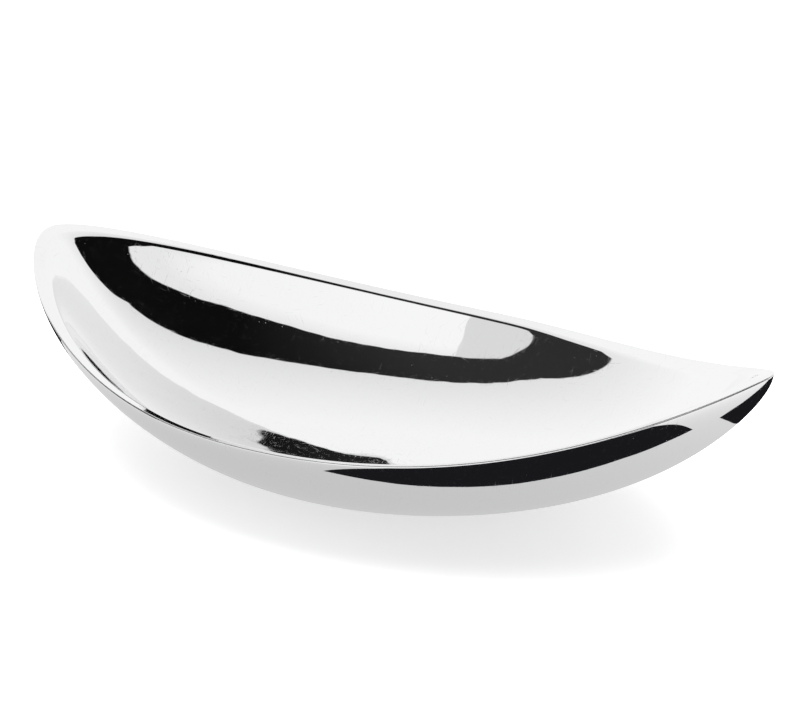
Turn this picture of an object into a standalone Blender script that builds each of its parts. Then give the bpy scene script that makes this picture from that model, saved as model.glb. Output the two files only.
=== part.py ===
"""Boat-shaped bowl in mirror-polished steel, double-walled: a hull and a liner that meet at a sharp rim.

Metres, +Z up. The origin is on the table under the middle of the bowl, and X runs from tip to tip.
"""
import math

import bpy

# Outlines from above. Each end has its reach from the middle, the handle of its side, and its tip's handle
LENGTH = 0.450
RIM_HALF_BEAM = 0.1240
RIM_BOW = (LENGTH / 2, 0.1139, 0.0466, math.radians(78.7))
RIM_STERN = (LENGTH / 2, 0.1210, 0.0357, math.radians(90.0))
FOLD_HALF_BEAM = 0.1174
FOLD_BOW = (0.2140, 0.1061, 0.0296, math.radians(90.0))
FOLD_STERN = (0.2143, 0.1221, 0.0321, math.radians(90.0))

# Side view: how much the rim rises from the middle of the sides to each tip, and the power it follows
BOW_RISE = (0.0448, 2.73)
STERN_RISE = (0.0423, 2.09)
LAND_SLOPE = math.radians(16.2)
LAND_INSET = 0.0003         # the land's top edge is this far inside the hull's
HULL_DEPTH = 0.0554         # from the middle of the rim's sides down to the flat
FLOOR_SPACE = 0.0045        # hollow between the two skins, under the middle of the liner

# Sections, as Beziers from a skin's edge to its floor: side handle, its lean, floor handle, flat
HULL_SECTION = (0.204, 0.00, 0.448, 0.20)
LINER_SECTION = (0.350, 0.35, 0.700, 0.03)

SKIN = 0.0010
GAP = 0.0003                # clearance between touching pieces
SEAM_DROP = 0.0021          # the hull's edge is this far below the land's top edge

# Solder bead in the corner under the land
BEAD_RADIUS = 0.0010
BEAD_INSET = 0.0040
BEAD_DROP = 0.0045

# Pads and vent plug under the flat
PAD_RADIUS = 0.0050
PAD_HEIGHT = 0.0021
PAD_ROUNDING = 0.0006
PAD_X = 0.038
PAD_Y = 0.014
VENT_RADIUS = 0.0040
PLUG_STEM_RADIUS = VENT_RADIUS - GAP
PLUG_FLANGE_RADIUS = 0.0060
PLUG_FLANGE = 0.0010
PLUG_BARB_RADIUS = 0.0046
PLUG_BARB = 0.0012

TURNS = 72                  # points round the rim, a multiple of four
RINGS = 10                  # rings of faces down each skin

BASE_Z = PAD_HEIGHT + GAP   # underside of the flat
RIM_Z = BASE_Z + HULL_DEPTH # rim at the middle of the sides

STEEL = ((0.90, 0.90, 0.90, 1.0), 0.04, 1.0)
SOLDER = ((0.60, 0.60, 0.58, 1.0), 0.35, 1.0)
PAD_PLASTIC = ((0.72, 0.73, 0.72, 1.0), 0.35, 0.0)
PLUG_PLASTIC = ((0.05, 0.05, 0.05, 1.0), 0.50, 0.0)


def collection(name):
    made = bpy.data.collections.new(name)
    bpy.context.scene.collection.children.link(made)
    return made


def material(name, look):
    colour, roughness, metallic = look
    made = bpy.data.materials.new(name)
    made.use_nodes = True
    shader = made.node_tree.nodes["Principled BSDF"]
    shader.inputs["Base Color"].default_value = colour
    shader.inputs["Roughness"].default_value = roughness
    shader.inputs["Metallic"].default_value = metallic
    return made


def finish(obj, name, look, group):
    """Name a piece, give it its material and move it to its collection."""
    obj.name = name
    obj.data.name = name
    obj.data.materials.clear()
    obj.data.materials.append(material(name + "_finish", look))
    for owner in list(obj.users_collection):
        owner.objects.unlink(obj)
    group.objects.link(obj)
    return obj


def bezier(points, t):
    """Point of a cubic Bezier in a plane."""
    s = 1.0 - t
    weights = (s ** 3, 3 * s * s * t, 3 * s * t * t, t ** 3)
    return tuple(sum(w * p[axis] for w, p in zip(weights, points)) for axis in (0, 1))


def outline(half_beam, bow, stern, turn):
    """Point of an outline seen from above, counted in turns from the bow's tip towards +Y."""
    quarter, along = divmod((turn % 1.0) * 4, 1)
    if quarter in (0, 2):
        along = 1.0 - along
    reach, side_handle, tip_handle, angle = bow if quarter in (0, 3) else stern
    tip = (reach - tip_handle * math.cos(angle), tip_handle * math.sin(angle))
    x, y = bezier(((0.0, half_beam), (side_handle, half_beam), tip, (reach, 0.0)), along)
    return (x if quarter in (0, 3) else -x, y if quarter in (0, 1) else -y)


def rim_plan(turn):
    return outline(RIM_HALF_BEAM, RIM_BOW, RIM_STERN, turn)


def fold_plan(turn):
    return outline(FOLD_HALF_BEAM, FOLD_BOW, FOLD_STERN, turn)


def inward(turn):
    """Unit normal of the rim's outline, in plan, towards the middle of the bowl."""
    step = 0.001
    (x0, y0), (x1, y1) = rim_plan(turn - step), rim_plan(turn + step)
    length = math.hypot(x1 - x0, y1 - y0)
    return (y0 - y1) / length, (x1 - x0) / length


def rim(turn, inset=0.0, drop=0.0):
    """Point of the rim, moved inwards in plan and down."""
    x, y = rim_plan(turn)
    nx, ny = inward(turn)
    rise, power = BOW_RISE if x > 0 else STERN_RISE
    z = RIM_Z + rise * abs(2 * x / LENGTH) ** power
    return x + nx * inset, y + ny * inset, z - drop


def fold(turn):
    """Point of the fold between the land and the inside of the bowl."""
    x, y, z = rim(turn)
    fold_x, fold_y = fold_plan(turn)
    width = math.hypot(fold_x - x, fold_y - y)
    return fold_x, fold_y, z - width * math.tan(LAND_SLOPE)


def section(step, shape):
    """Section of a skin: the scale of its outline, and its height as a part of the edge's height."""
    side_handle, lean, floor_handle, flat = shape
    handle = (1.0 - side_handle * lean, 1.0 - side_handle)
    return bezier(((1.0, 1.0), handle, (flat + floor_handle, 0.0), (flat, 0.0)), step)


def drawn_rings(edge, floor_z, shape):
    """Rings from an edge down to the middle of its floor, the last one a single point."""
    rings = []
    for count in range(RINGS + 1):
        scale, height = section(count / RINGS, shape)
        rings.append([(x * scale, y * scale, floor_z + (z - floor_z) * height) for x, y, z in edge])
    rings.append([(0.0, 0.0, floor_z)])
    return rings


def loft(rings):
    """Open surface through closed rings of points, closed by a fan onto the last single point."""
    points = [point for ring in rings for point in ring]
    faces = []
    for upper in range(len(rings) - 2):
        for here in range(TURNS):
            after = (here + 1) % TURNS
            a, b = upper * TURNS, (upper + 1) * TURNS
            faces.append((a + here, a + after, b + after, b + here))
    last, middle = (len(rings) - 2) * TURNS, len(points) - 1
    faces += [(last + here, last + (here + 1) % TURNS, middle) for here in range(TURNS)]
    return points, faces


def skin(name, rings, faces_up, group):
    """Sheet-metal skin whose visible side is the loft, with its thickness behind it."""
    points, faces = loft(rings)
    if not faces_up:
        faces = [face[::-1] for face in faces]
    mesh = bpy.data.meshes.new(name)
    mesh.from_pydata(points, [], faces)
    mesh.shade_smooth()
    mesh.set_sharp_from_angle(angle=math.radians(25))
    obj = bpy.data.objects.new(name, mesh)
    bpy.context.scene.collection.objects.link(obj)
    wall = obj.modifiers.new("wall", "SOLIDIFY")
    wall.thickness = SKIN
    wall.offset = -1.0
    wall.use_even_offset = True
    return finish(obj, name, STEEL, group)


def turn_list():
    return [count / TURNS for count in range(TURNS)]


def hull(group, cutters):
    """Outer skin: from just under the land's edge down to a flat with a vent hole."""
    edge = [rim(turn, 0.0, SEAM_DROP) for turn in turn_list()]
    rings = drawn_rings(edge, BASE_Z, HULL_SECTION)
    obj = skin("hull", rings, False, group)
    bpy.ops.mesh.primitive_cylinder_add(vertices=32, radius=VENT_RADIUS, depth=8 * SKIN,
                                        location=(0.0, 0.0, BASE_Z))
    cutter = finish(bpy.context.object, "vent_cutter", STEEL, cutters)
    cutter.hide_render = True
    cutter.display_type = "WIRE"
    vent = obj.modifiers.new("vent", "BOOLEAN")
    vent.operation = "DIFFERENCE"
    vent.solver = "EXACT"
    vent.object = cutter
    return obj


def liner(group):
    """Inner skin: the sloping land, the fold and the inside of the bowl."""
    floor_z = BASE_Z + 2 * SKIN + FLOOR_SPACE
    edge = [rim(turn, LAND_INSET) for turn in turn_list()]
    inner_edge = [fold(turn) for turn in turn_list()]
    rings = [edge] + drawn_rings(inner_edge, floor_z, LINER_SECTION)
    return skin("liner", rings, True, group)


def rim_bead(group):
    """Solder bead that runs all the way round, in the corner between the hull and the land."""
    curve = bpy.data.curves.new("rim_bead", "CURVE")
    curve.dimensions = "3D"
    curve.bevel_depth = BEAD_RADIUS
    curve.bevel_resolution = 1
    line = curve.splines.new("POLY")
    line.points.add(TURNS - 1)
    line.use_cyclic_u = True
    for point, turn in zip(line.points, turn_list()):
        point.co = (*rim(turn, BEAD_INSET, BEAD_DROP), 1.0)
    obj = bpy.data.objects.new("rim_bead", curve)
    bpy.context.scene.collection.objects.link(obj)
    return finish(obj, "rim_bead", SOLDER, group)


def pad(name, x, y, group):
    """Clear stick-on pad that keeps the steel off the table."""
    bpy.ops.mesh.primitive_cylinder_add(vertices=32, radius=PAD_RADIUS, depth=PAD_HEIGHT,
                                        location=(x, y, PAD_HEIGHT / 2))
    obj = finish(bpy.context.object, name, PAD_PLASTIC, group)
    round_off = obj.modifiers.new("rounding", "BEVEL")
    round_off.width = PAD_ROUNDING
    round_off.segments = 2
    obj.data.shade_smooth()
    obj.data.set_sharp_from_angle(angle=math.radians(30))
    return obj


def vent_plug(group):
    """Push-in plug of the hull's vent hole: barb inside, stem in the hole, flange under the flat."""
    inside = BASE_Z + SKIN + GAP
    under = BASE_Z - GAP
    profile = ((0.0, inside + PLUG_BARB), (PLUG_STEM_RADIUS, inside + PLUG_BARB),
               (PLUG_BARB_RADIUS, inside), (PLUG_STEM_RADIUS, inside), (PLUG_STEM_RADIUS, under),
               (PLUG_FLANGE_RADIUS, under), (PLUG_FLANGE_RADIUS, under - PLUG_FLANGE),
               (0.0, under - PLUG_FLANGE))
    mesh = bpy.data.meshes.new("vent_plug")
    mesh.from_pydata([(radius, 0.0, z) for radius, z in profile],
                     [(at, at + 1) for at in range(len(profile) - 1)], [])
    obj = bpy.data.objects.new("vent_plug", mesh)
    bpy.context.scene.collection.objects.link(obj)
    turned = obj.modifiers.new("turned", "SCREW")
    turned.steps = 32
    turned.render_steps = 32
    turned.use_merge_vertices = True
    turned.merge_threshold = 0.00001
    turned.use_smooth_shade = False
    return finish(obj, "vent_plug", PLUG_PLASTIC, group)


def build():
    for obj in list(bpy.data.objects):
        bpy.data.objects.remove(obj)
    bowl = collection("boat_bowl")
    cutters = collection("cutters")
    hull(bowl, cutters)
    liner(bowl)
    rim_bead(bowl)
    vent_plug(bowl)
    corners = ((1, 1), (-1, 1), (-1, -1), (1, -1))
    for number, (side_x, side_y) in enumerate(corners, start=1):
        pad(f"base_pad_{number}", side_x * PAD_X, side_y * PAD_Y, bowl)


build()
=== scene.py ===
import math

import bpy
import numpy as np
from mathutils import Matrix, Vector


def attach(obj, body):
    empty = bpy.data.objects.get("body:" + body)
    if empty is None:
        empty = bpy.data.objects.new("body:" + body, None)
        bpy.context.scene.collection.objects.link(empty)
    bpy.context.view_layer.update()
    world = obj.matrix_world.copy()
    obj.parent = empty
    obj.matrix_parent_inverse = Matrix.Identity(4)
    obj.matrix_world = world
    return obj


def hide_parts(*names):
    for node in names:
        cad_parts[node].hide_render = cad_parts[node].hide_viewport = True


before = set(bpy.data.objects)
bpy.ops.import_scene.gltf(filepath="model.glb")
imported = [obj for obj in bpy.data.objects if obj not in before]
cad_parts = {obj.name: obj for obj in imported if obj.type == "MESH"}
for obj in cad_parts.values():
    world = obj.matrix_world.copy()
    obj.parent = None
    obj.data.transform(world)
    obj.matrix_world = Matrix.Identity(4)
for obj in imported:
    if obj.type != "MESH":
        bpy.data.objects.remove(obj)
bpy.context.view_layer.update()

# Shape of the bowl, in metres, as in the CAD model. The bow is its +X end and the stern its -X end
LENGTH = 0.450
# Outlines from above: half beam; then reach, side handle, tip handle and tip angle of bow and of stern
RIM = (0.1240, (0.2250, 0.1139, 0.0466, math.radians(78.7)), (0.2250, 0.1210, 0.0357, math.radians(90)))
FOLD = (0.1174, (0.2140, 0.1061, 0.0296, math.radians(90)), (0.2143, 0.1221, 0.0321, math.radians(90)))
# How far the rim rises at a tip, and the power of the distance from the middle that it rises by
BOW_RISE = (0.0448, 2.73)
STERN_RISE = (0.0423, 2.09)
LAND_SLOPE = math.radians(16.2)
RIM_HEIGHT = 0.0554          # middle of the rim above the flat
BASE_Z = 0.0024              # the flat under the bowl
RIM_Z = BASE_Z + RIM_HEIGHT
FLOOR_Z = 0.0089             # lowest place inside the bowl
SKIN = 0.0010
VENT_RADIUS = 0.0040

# Section of a skin, as a Bezier from its edge (1, 1) to its floor: side handle, lean, floor handle, flat
HULL_SECTION = (0.204, 0.0, 0.448, 0.20)
LINER_SECTION = (0.35, 0.35, 0.70, 0.03)

# The seam under the rim: how far in it reaches, and how far below the rim each edge beside it lies
SEAM_INSET = 0.0004
LINER_EDGE_DROP = 0.0002
LINER_UNDER_DROP = 0.0005
HULL_TOP_DROP = 0.0006
HULL_INNER_DROP = 0.0011

# The land's back: where across the land it turns down, and how far under the land it lies
LAND_BACK = 0.86
LAND_BACK_DROP = SKIN * 1.06

# Fineness of the meshes: points in a ring, and rings down each side of a skin
RING_POINTS = 360
TANGENT_STEP = 0.0005        # half the stretch of outline that gives its direction, in turns
HULL_RINGS = 72
LINER_RINGS = 36
HIDDEN_RINGS = 24
VENT_EDGE = 0.0003           # width of the ring that keeps the vent's edge crisp
# Rings over the land, from the fold (1) to the rim (0); the first one gives the fold its fine rounding
LAND_PARTS = (0.97, 0.8, 0.5, 0.2, 0.08, 0.02)

# Polished metal: waves left by the polishing wheel as (scale, height), and scratches as (direction, scale)
STEEL = (0.90, 0.90, 0.905)
STEEL_CLEAN = (0.905, 0.905, 0.91)
STEEL_WORN = (0.78, 0.785, 0.80)
POLISHING_WAVES = ((14.0, 0.00055), (60.0, 0.00008))
SCRATCHES = ((0.4, 2600.0), (1.3, 3200.0), (2.2, 2900.0))
SCRATCH_TILT = (0.3, 0.2)    # turns the scratches' texture about X and Y, so that it isn't square to the bowl
SCRATCH_LENGTH = 30.0        # length of a scratch, in widths
SCRATCH_LEVELS = (0.64, 0.76)          # noise levels at which a scratch starts and is full
SCRATCH_ROUGHNESS = 0.17
PIT_SCALE = 160.0            # cells in a metre, with a pit in the middle of each
PIT_LEVELS = (0.055, 0.035)            # distances from a pit's middle where it starts and is full, in cells
PIT_ROUGHNESS = 0.26
HAZE_SCALE = 35.0
HAZE_LEVELS = (0.35, 0.70)             # noise levels of the least and the most haze
HAZE_ROUGHNESS = (0.012, 0.030)
MARK_DEPTH = 0.000001        # depth of scratches and pits
GRAIN_LEVELS = (0.3, 0.7)    # between these lie most values of a noise texture

# Sockets of a Mix node that mixes colours
MIX_FACTOR, MIX_LOW, MIX_HIGH, MIX_RESULT = 0, 6, 7, 2

# Camera: its place round the bowl, its height as an angle and its distance, all from the bowl's middle at the
# height of the lowest part of the rim
AZ = math.radians(35.98)
EL = math.radians(19.15)
DIST = 3 * LENGTH
LENS = 117.65
SENSOR_WIDTH = 36.0
SHIFT = (0.0289, 0.0137)
CLIP_START = 0.05

# Floor: half its width, its own light, and the heights of the layers that only reflections show
FLOOR_HALF = 6.0
FLOOR_GLOW = 0.35
FLOOR_SHOWN = 0.0003
CARD_HEIGHT = 0.0006
# Brightness of the reflected floor, by the distance from the bowl's middle
FLOOR_SHADE = {"From Min": 0.08, "From Max": 0.45, "To Min": 0.60, "To Max": 0.97}

# Dark cards on the floor, as spans ahead (towards the camera) and across (to its right)
CARD_REACH = 3.0
CARD_COLOUR = (0.010, 0.010, 0.012)
DARK_CARDS = {
    "dark_front": ((0.127, CARD_REACH), (-0.050, 0.188)),
    "dark_right": ((-0.280, 0.116), (0.212, CARD_REACH)),
    "dark_back": ((-1.200, -0.160), (-0.400, -0.140)),
}

# Studio panels over the bowl. Each edge is a line on a ceiling one metre up: (a, b, c) keeps the side where
# a * towards the camera + b * to the camera's right + c is positive
BACK_EDGE = (-1.0, 0.29, -0.244)
BACK_LEFT = (-1.0, -0.53, 0.285)
BACK_RIGHT = (-1.0, 0.75, 0.175)
FRONT_EDGE = (1.0, -0.56, -0.243)
FRONT_FAR_EDGE = (1.0, -0.42, -0.218)
FRONT_NEAR_LEFT = (1.0, -0.10, -0.340)
FRONT_LEFT = (-1.1, -1.0, 1.080)
FRONT_RIGHT = (0.92, 1.0, 0.605)
SIDE_EDGE = (0.0, 1.0, -1.60)
GREY_LEFT = (0.0, -1.0, 0.0)
GREY_RIGHT = (1.0, 0.0, 0.130)
# Width of a panel's soft border. This and the depths of the fades are sines of the angle past an edge
PANEL_SOFTNESS = 0.008
# Brightness of the white panels; two of them fade towards one edge: depth of the fade, share left at the edge
WHITE_LEVEL = 0.99
BACK_FADE = (0.60, 0.80)
FRONT_FADE = (0.15, 0.88)
# Brightness of the other panels, as shares of the white
GREY_LEVEL = 0.74
SIDE_LEVEL = 0.92
# Brightness of the dark room, and what is added over the side of it that catches some light
ROOM_LEVEL = 0.004
ROOM_LIT = (0.0, -1.0, 0.15)
ROOM_LIT_DEPTH = 0.5
ROOM_LIT_LEVEL = 0.024

SOFTBOX_SIZE = 2.4
SOFTBOX_HEIGHT = 2.2
SOFTBOX_POWER = 60


def bezier(points, t):
    t = np.asarray(t, float)[..., None]
    s = 1.0 - t
    p = [np.array(point, float) for point in points]
    return s ** 3 * p[0] + 3 * s * s * t * p[1] + 3 * s * t * t * p[2] + t ** 3 * p[3]


def quarter(half_beam, end, t):
    """A quarter of an outline, from the side (t = 0) to the tip (t = 1)."""
    reach, side_handle, tip_handle, angle = end
    return bezier(((0, half_beam), (side_handle, half_beam),
                   (reach - tip_handle * math.cos(angle), tip_handle * math.sin(angle)), (reach, 0)), t)


def outline(shape, turn):
    """Outline from above, in turns from the bow's tip towards +Y."""
    half_beam, bow, stern = shape
    place = (turn % 1.0) * 4
    number = np.floor(place)
    along = place - number
    along = np.where((number == 0) | (number == 2), 1.0 - along, along)[:, None]
    to_bow = ((number == 0) | (number == 3))[:, None]
    xy = np.where(to_bow, quarter(half_beam, bow, along[:, 0]),
                  quarter(half_beam, stern, along[:, 0]) * (-1, 1))
    return xy * np.where(number < 2, 1, -1)[:, None] ** np.array([[0, 1]])


def outwards(xy):
    """Unit vectors from the bowl's middle axis."""
    return xy / np.linalg.norm(xy, axis=1)[:, None]


def rim(turn, inset=0.0, drop=0.0):
    """The rim, moved a little inwards and down."""
    xy = outline(RIM, turn)
    step = outline(RIM, turn + TANGENT_STEP) - outline(RIM, turn - TANGENT_STEP)
    inwards = np.stack([-step[:, 1], step[:, 0]], 1) / np.linalg.norm(step, axis=1)[:, None]
    u = np.abs(2 * xy[:, 0] / LENGTH)
    rise = np.where(xy[:, 0] > 0, BOW_RISE[0] * u ** BOW_RISE[1], STERN_RISE[0] * u ** STERN_RISE[1])
    return np.column_stack([xy + inwards * inset, RIM_Z + rise - drop])


def land(turn, part, drop=0.0):
    """Across the sloping land, from the rim (part 0) to the fold (part 1)."""
    edge = rim(turn)
    across = outline(FOLD, turn) - edge[:, :2]
    width = np.linalg.norm(across, axis=1)
    return np.column_stack([edge[:, :2] + across * part,
                            edge[:, 2] - width * part * math.tan(LAND_SLOPE) - drop])


def section(t, shape):
    side, lean, bottom, flat = shape
    return bezier(((1, 1), (1 - side * lean, 1 - side), (flat + bottom, 0), (flat, 0)), t)


def rings_down(edge, floor_z, shape, count):
    """Rings from an edge down to a floor, each a scaled copy of the edge."""
    made = []
    for scale, height in section(np.linspace(0.0, 1.0, count), shape):
        ring = edge * (scale, scale, 1.0)
        ring[:, 2] = floor_z + (edge[:, 2] - floor_z) * height
        made.append(ring)
    return made


def bands(count, pairs):
    """Faces between rings of this many points, for each pair of ring numbers."""
    here = np.arange(count)
    after = (here + 1) % count
    faces = []
    for low, high in pairs:
        a, b = low * count, high * count
        faces += np.stack([a + here, a + after, b + after, b + here], 1).tolist()
    return faces


def smooth_object(name, points, faces):
    mesh = bpy.data.meshes.new(name)
    mesh.from_pydata(points.tolist(), [], faces)
    mesh.shade_smooth()
    mesh.update()
    obj = bpy.data.objects.new(name, mesh)
    bpy.context.scene.collection.objects.link(obj)
    return obj


def closed_loft(name, rings, first_z, last_z):
    """A closed body through rings, closed by a fan onto the axis at each end."""
    count = len(rings[0])
    points = np.vstack([np.vstack(rings), [[0, 0, first_z], [0, 0, last_z]]])
    faces = bands(count, [(row, row + 1) for row in range(len(rings) - 1)])
    first, last = len(points) - 2, len(points) - 1
    end = (len(rings) - 1) * count
    for i in range(count):
        j = (i + 1) % count
        faces.append((first, j, i))
        faces.append((end + i, end + j, last))
    return smooth_object(name, points, faces)


def looped_loft(name, rings):
    """A closed body through rings, the last of which joins the first again, round a hole."""
    faces = bands(len(rings[0]), [(row, (row + 1) % len(rings)) for row in range(len(rings))])
    return smooth_object(name, np.vstack(rings), faces)


def make_liner(turn):
    """Inner skin, from the middle of the bowl up to the fold, over the land and back behind."""
    inside = rings_down(land(turn, 1.0), FLOOR_Z, LINER_SECTION, LINER_RINGS)[::-1]
    front = inside[:-1] + [land(turn, part) for part in LAND_PARTS]
    edge = rim(turn, 0.0, LINER_EDGE_DROP)
    under = rim(turn, SEAM_INSET, LINER_UNDER_DROP)
    back = rings_down(land(turn, LAND_BACK, LAND_BACK_DROP), FLOOR_Z - SKIN, LINER_SECTION, HIDDEN_RINGS)
    obj = closed_loft("liner_polished", front + [edge, under] + back, FLOOR_Z, FLOOR_Z - SKIN)
    obj.data.flip_normals()
    return obj


def make_hull(turn):
    """Outer skin, from the vent in the flat up to the seam under the land and down inside."""
    top = rim(turn, 0.0, HULL_TOP_DROP)
    outside = rings_down(top, BASE_Z, HULL_SECTION, HULL_RINGS)[::-1]
    lip = rim(turn, SEAM_INSET, HULL_TOP_DROP)
    inner = rim(turn, SKIN, HULL_INNER_DROP)
    inside = rings_down(inner, BASE_Z + SKIN, HULL_SECTION, HIDDEN_RINGS)
    vent = [np.column_stack([outwards(top[:, :2]) * radius, np.full(len(top), height)])
            for radius, height in ((VENT_RADIUS, BASE_Z), (VENT_RADIUS + VENT_EDGE, BASE_Z),
                                   (VENT_RADIUS + VENT_EDGE, BASE_Z + SKIN), (VENT_RADIUS, BASE_Z + SKIN))]
    return looped_loft("hull_polished", vent[:2] + outside + [lip] + inside + vent[2:])


turns = np.arange(RING_POINTS) / RING_POINTS
liner = make_liner(turns)
hull = make_hull(turns)


class Surface:
    """A Principled material whose detail is built from node textures over the piece's own metres."""

    def __init__(self, name, colour, roughness, metallic=0.0, ior=1.45):
        self.material = bpy.data.materials.new(name)
        self.material.use_nodes = True
        self.nodes = self.material.node_tree.nodes
        self.links = self.material.node_tree.links
        self.shader = self.nodes["Principled BSDF"]
        self.shader.inputs["Base Color"].default_value = (*colour, 1)
        self.shader.inputs["Roughness"].default_value = roughness
        self.shader.inputs["Metallic"].default_value = metallic
        self.shader.inputs["IOR"].default_value = ior
        self.where = self.nodes.new("ShaderNodeTexCoord").outputs["Object"]
        self.relief = None

    def mapped(self, turn, size):
        """The piece's own coordinates, turned and drawn out to this size along each axis."""
        made = self.nodes.new("ShaderNodeMapping")
        made.vector_type = "TEXTURE"
        made.inputs["Rotation"].default_value = turn
        made.inputs["Scale"].default_value = size
        self.links.new(self.where, made.inputs["Vector"])
        return made.outputs["Vector"]

    def noise(self, scale, detail, where=None):
        made = self.nodes.new("ShaderNodeTexNoise")
        made.inputs["Scale"].default_value = scale
        made.inputs["Detail"].default_value = detail
        self.links.new(self.where if where is None else where, made.inputs["Vector"])
        return made.outputs["Fac"]

    def cells(self, scale):
        """Distance to the nearest of many scattered points."""
        made = self.nodes.new("ShaderNodeTexVoronoi")
        made.inputs["Scale"].default_value = scale
        self.links.new(self.where, made.inputs["Vector"])
        return made.outputs["Distance"]

    def spread(self, value, levels, results=(0.0, 1.0)):
        """Value stretched so that these two levels become these two results."""
        made = self.nodes.new("ShaderNodeMapRange")
        self.links.new(value, made.inputs["Value"])
        for socket, number in zip(("From Min", "From Max", "To Min", "To Max"), (*levels, *results)):
            made.inputs[socket].default_value = number
        return made.outputs["Result"]

    def combine(self, operation, one, other):
        made = self.nodes.new("ShaderNodeMath")
        made.operation = operation
        self.links.new(one, made.inputs[0])
        self.links.new(other, made.inputs[1])
        return made.outputs[0]

    def tint(self, value, low, high):
        """Base colour running from one colour to another with a value from 0 to 1."""
        made = self.nodes.new("ShaderNodeMix")
        made.data_type = "RGBA"
        made.inputs[MIX_LOW].default_value = (*low, 1)
        made.inputs[MIX_HIGH].default_value = (*high, 1)
        self.links.new(value, made.inputs[MIX_FACTOR])
        self.links.new(made.outputs[MIX_RESULT], self.shader.inputs["Base Color"])

    def roughen(self, value):
        self.links.new(value, self.shader.inputs["Roughness"])

    def bump(self, value, height):
        """Relief of this many metres, laid over any relief already there."""
        made = self.nodes.new("ShaderNodeBump")
        made.inputs["Strength"].default_value = 1.0
        made.inputs["Distance"].default_value = height
        self.links.new(value, made.inputs["Height"])
        if self.relief is not None:
            self.links.new(self.relief, made.inputs["Normal"])
        self.relief = made.outputs["Normal"]
        self.links.new(self.relief, self.shader.inputs["Normal"])


def polished_metal(name):
    """Mirror-polished steel: slow waves of hand polishing, fine scratches and a few pits."""
    made = Surface(name, colour=STEEL, roughness=0.03, metallic=1.0)
    for scale, height in POLISHING_WAVES:
        made.bump(made.noise(scale, detail=1.0), height)
    scratches = None
    for turn, scale in SCRATCHES:
        drawn_out = made.mapped((*SCRATCH_TILT, turn), (1.0, SCRATCH_LENGTH, SCRATCH_LENGTH))
        fine = made.spread(made.noise(scale, detail=3.0, where=drawn_out), SCRATCH_LEVELS)
        scratches = fine if scratches is None else made.combine("MAXIMUM", scratches, fine)
    haze = made.noise(HAZE_SCALE, detail=4.0)
    pits = made.spread(made.cells(PIT_SCALE), PIT_LEVELS)
    worn = made.combine("MAXIMUM", scratches, pits)
    marks = made.combine("MAXIMUM", made.spread(scratches, (0.0, 1.0), (0.0, SCRATCH_ROUGHNESS)),
                         made.spread(pits, (0.0, 1.0), (0.0, PIT_ROUGHNESS)))
    made.roughen(made.combine("ADD", made.spread(haze, HAZE_LEVELS, HAZE_ROUGHNESS), marks))
    made.tint(made.combine("MULTIPLY", worn, haze), STEEL_CLEAN, STEEL_WORN)
    made.bump(worn, MARK_DEPTH)
    return made.material


def solder(name):
    """Soldered joint: dull grey metal with ripples along it."""
    dark, pale = (0.50, 0.50, 0.48), (0.68, 0.68, 0.66)
    smooth, rough = 0.25, 0.50
    made = Surface(name, colour=(0.60, 0.60, 0.58), roughness=0.35, metallic=1.0)
    grain = made.noise(scale=900.0, detail=5.0)
    made.tint(grain, dark, pale)
    made.roughen(made.spread(grain, GRAIN_LEVELS, (smooth, rough)))
    made.bump(made.noise(scale=260.0, detail=3.0), height=0.0002)
    return made.material


def plug_plastic(name):
    """Moulded black plastic with a fine grain."""
    dark, pale = (0.035, 0.035, 0.036), (0.065, 0.065, 0.064)
    smooth, rough = 0.40, 0.60
    made = Surface(name, colour=(0.05, 0.05, 0.05), roughness=0.50)
    grain = made.noise(scale=1800.0, detail=4.0)
    made.tint(made.noise(scale=300.0, detail=3.0), dark, pale)
    made.roughen(made.spread(grain, GRAIN_LEVELS, (smooth, rough)))
    made.bump(grain, height=0.00004)
    return made.material


def pad_plastic(name):
    """Soft clear pad, seen as a pale milky plastic."""
    dark, pale = (0.62, 0.63, 0.62), (0.80, 0.81, 0.80)
    smooth, rough = 0.25, 0.45
    made = Surface(name, colour=(0.72, 0.73, 0.72), roughness=0.35, ior=1.50)
    made.tint(made.noise(scale=220.0, detail=4.0), dark, pale)
    made.roughen(made.spread(made.noise(scale=700.0, detail=3.0), GRAIN_LEVELS, (smooth, rough)))
    made.bump(made.cells(scale=900.0), height=0.00003)
    return made.material


metal = polished_metal("polished_steel")
for obj, node, slot in ((liner, "liner", "polished_steel_inside"), (hull, "hull", "polished_steel")):
    obj.data.materials.append(metal)
    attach(obj, "root")
    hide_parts(node)

coatings = {"rim_bead": solder("solder"), "vent_plug": plug_plastic("plug_plastic")}
pads = pad_plastic("pad_plastic")
for node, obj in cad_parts.items():
    if node in ("hull", "liner"):
        continue
    obj.data.materials.clear()
    obj.data.materials.append(coatings.get(node, pads))

# Directions: ahead is towards the camera along the floor, across is to its right
ahead = Vector((math.sin(AZ), -math.cos(AZ), 0))
across = Vector((math.cos(AZ), math.sin(AZ), 0))
upright = Vector((0, 0, 1))


def pale_floor(name):
    """Matt white floor that glows a little, so that the bowl's shadow stays pale."""
    made = Surface(name, colour=(0.86, 0.86, 0.86), roughness=0.9)
    made.shader.inputs["Emission Color"].default_value = (1, 1, 1, 1)
    made.shader.inputs["Emission Strength"].default_value = FLOOR_GLOW
    return made.material


def glow(name, colour):
    """A surface that only shines in this colour."""
    mat = bpy.data.materials.new(name)
    mat.use_nodes = True
    tree = mat.node_tree
    tree.nodes.clear()
    out = tree.nodes.new("ShaderNodeOutputMaterial")
    light = tree.nodes.new("ShaderNodeEmission")
    light.inputs["Color"].default_value = (*colour, 1)
    tree.links.new(light.outputs[0], out.inputs["Surface"])
    return mat


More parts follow.
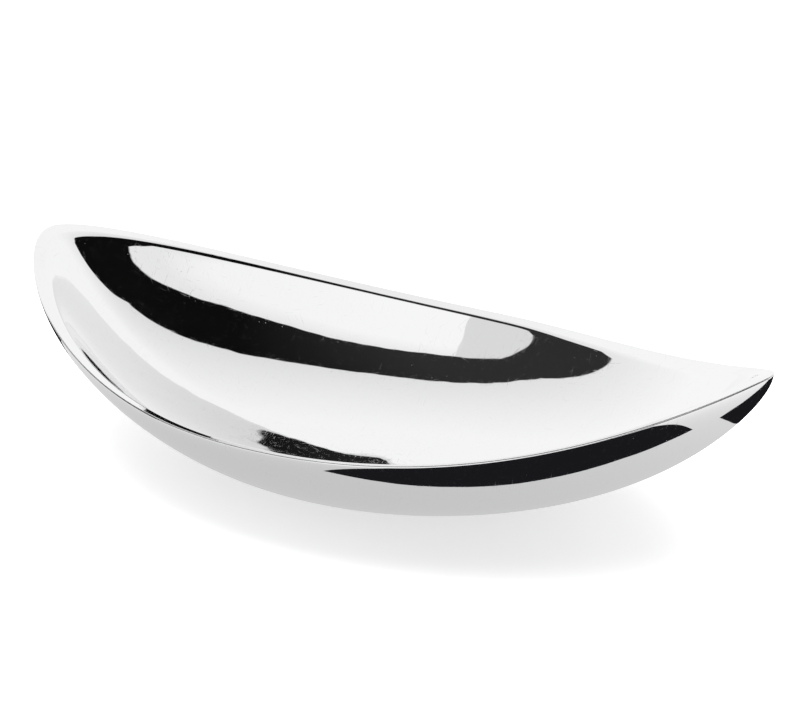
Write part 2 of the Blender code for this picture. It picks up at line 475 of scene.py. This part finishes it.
def shaded_floor(name):
    """The floor as the metal shows it: darker close to the bowl, where the bowl shades it."""
    mat = glow(name, (1.0, 1.0, 1.0))
    tree = mat.node_tree
    where = tree.nodes.new("ShaderNodeTexCoord")
    length = tree.nodes.new("ShaderNodeVectorMath")
    length.operation = "LENGTH"
    level = tree.nodes.new("ShaderNodeMapRange")
    level.interpolation_type = "SMOOTHSTEP"
    for socket, value in FLOOR_SHADE.items():
        level.inputs[socket].default_value = value
    tree.links.new(where.outputs["Object"], length.inputs[0])
    tree.links.new(length.outputs["Value"], level.inputs["Value"])
    tree.links.new(level.outputs["Result"], tree.nodes["Emission"].inputs["Strength"])
    return mat


def stage_card(name, corners, material, seen_by):
    """A flat four-cornered piece of the studio that only these kinds of ray meet."""
    mesh = bpy.data.meshes.new(name)
    mesh.from_pydata([tuple(corner) for corner in corners], [], [(0, 1, 2, 3)])
    obj = bpy.data.objects.new(name, mesh)
    obj.data.materials.append(material)
    bpy.context.scene.collection.objects.link(obj)
    obj.visible_camera = "camera" in seen_by
    obj.visible_diffuse = "diffuse" in seen_by
    obj.visible_glossy = "glossy" in seen_by
    obj.visible_transmission = False
    obj.visible_shadow = "shadow" in seen_by
    obj.visible_volume_scatter = False


def floor_layer(name, height, material, seen_by):
    corners = [(x * FLOOR_HALF, y * FLOOR_HALF, height) for x, y in ((-1, -1), (1, -1), (1, 1), (-1, 1))]
    stage_card(name, corners, material, seen_by)


floor_layer("floor", 0.0, pale_floor("floor_white"), ("camera", "diffuse", "shadow"))
floor_layer("floor_reflected", FLOOR_SHOWN, shaded_floor("floor_reflected"), ("glossy",))
dark_card = glow("studio_dark", CARD_COLOUR)
for name, (spans_ahead, spans_across) in DARK_CARDS.items():
    corners = [ahead * spans_ahead[i] + across * spans_across[j] + upright * CARD_HEIGHT
               for i, j in ((0, 0), (0, 1), (1, 1), (1, 0))]
    stage_card(name, corners, dark_card, ("glossy",))


def studio_world():
    """White, except in reflections, which show a dark room with white panels overhead."""
    world = bpy.data.worlds.new("studio")
    bpy.context.scene.world = world
    world.use_nodes = True
    tree = world.node_tree
    nodes, links = tree.nodes, tree.links
    nodes.clear()

    def node(kind, **values):
        made = nodes.new(kind)
        for key, value in values.items():
            setattr(made, key, value)
        return made

    where = node("ShaderNodeTexCoord").outputs["Generated"]

    def math_node(operation, a, b, clamp=False):
        made = node("ShaderNodeMath", operation=operation, use_clamp=clamp)
        for socket, value in zip(made.inputs, (a, b)):
            if isinstance(value, (int, float)):
                socket.default_value = value
            else:
                links.new(value, socket)
        return made.outputs[0]

    def add(a, b, clamp=False):
        return math_node("ADD", a, b, clamp)

    def times(a, b):
        return math_node("MULTIPLY", a, b)

    def highest(a, b):
        return math_node("MAXIMUM", a, b)

    def distance(edge):
        """Sine of the angle that a ray points past a straight edge by; positive inside."""
        made = node("ShaderNodeVectorMath", operation="DOT_PRODUCT")
        links.new(where, made.inputs[0])
        made.inputs[1].default_value = (ahead * edge[0] + across * edge[1] + upright * edge[2]).normalized()
        return made.outputs["Value"]

    def within(*edges):
        """1 inside all of the edges, falling to 0 across the panel's soft border."""
        nearest = distance(edges[0])
        for edge in edges[1:]:
            nearest = math_node("MINIMUM", nearest, distance(edge))
        return add(math_node("DIVIDE", nearest, PANEL_SOFTNESS), 0.5, clamp=True)

    def inwards(edge, depth):
        """0 outside an edge, rising to 1 this far inside it."""
        return math_node("DIVIDE", distance(edge), depth, clamp=True)

    def faded(panel, edge, fade):
        """A panel that is dimmer along one edge and reaches full brightness this far in."""
        depth, lowest = fade
        return times(panel, add(times(inwards(edge, depth), 1 - lowest), lowest))

    back_panel = faded(within(BACK_EDGE, BACK_LEFT, BACK_RIGHT), BACK_EDGE, BACK_FADE)
    front_panel = highest(within(FRONT_NEAR_LEFT, FRONT_LEFT, FRONT_RIGHT),
                          within(FRONT_EDGE, FRONT_FAR_EDGE, FRONT_LEFT, FRONT_RIGHT))
    front_panel = faded(front_panel, FRONT_EDGE, FRONT_FADE)
    grey_panel = times(within(FRONT_EDGE, FRONT_FAR_EDGE, GREY_LEFT, GREY_RIGHT), GREY_LEVEL)
    side_panel = times(within(SIDE_EDGE), SIDE_LEVEL)
    panels = highest(highest(back_panel, front_panel), highest(grey_panel, side_panel))
    room = add(times(inwards(ROOM_LIT, ROOM_LIT_DEPTH), ROOM_LIT_LEVEL), ROOM_LEVEL)
    reflected = add(times(panels, WHITE_LEVEL), room)
    not_reflected = math_node("SUBTRACT", 1.0, node("ShaderNodeLightPath").outputs["Is Glossy Ray"])
    light = node("ShaderNodeBackground")
    light.inputs["Color"].default_value = (1.0, 1.0, 1.0, 1.0)
    links.new(highest(not_reflected, reflected), light.inputs["Strength"])
    links.new(light.outputs[0], node("ShaderNodeOutputWorld").inputs["Surface"])


studio_world()

lamp = bpy.data.lights.new("softbox", "AREA")
lamp.shape = "RECTANGLE"
lamp.size, lamp.size_y = SOFTBOX_SIZE, SOFTBOX_SIZE
lamp.energy = SOFTBOX_POWER
lamp_obj = bpy.data.objects.new("softbox", lamp)
lamp_obj.location = upright * SOFTBOX_HEIGHT
lamp_obj.visible_glossy = False
bpy.context.scene.collection.objects.link(lamp_obj)

target = upright * RIM_Z
back = ahead * math.cos(EL) + upright * math.sin(EL)
up = back.cross(across)
cam = bpy.data.cameras.new("camera")
cam.sensor_width = SENSOR_WIDTH
cam.lens = LENS
cam.shift_x, cam.shift_y = SHIFT
cam.clip_start = CLIP_START
cam_obj = bpy.data.objects.new("camera", cam)
bpy.context.scene.collection.objects.link(cam_obj)
axes = Matrix((across, up, back)).transposed().to_4x4()
cam_obj.matrix_world = Matrix.Translation(target + back * DIST) @ axes
bpy.context.scene.camera = cam_obj
bpy.context.scene.view_settings.view_transform = "Standard"
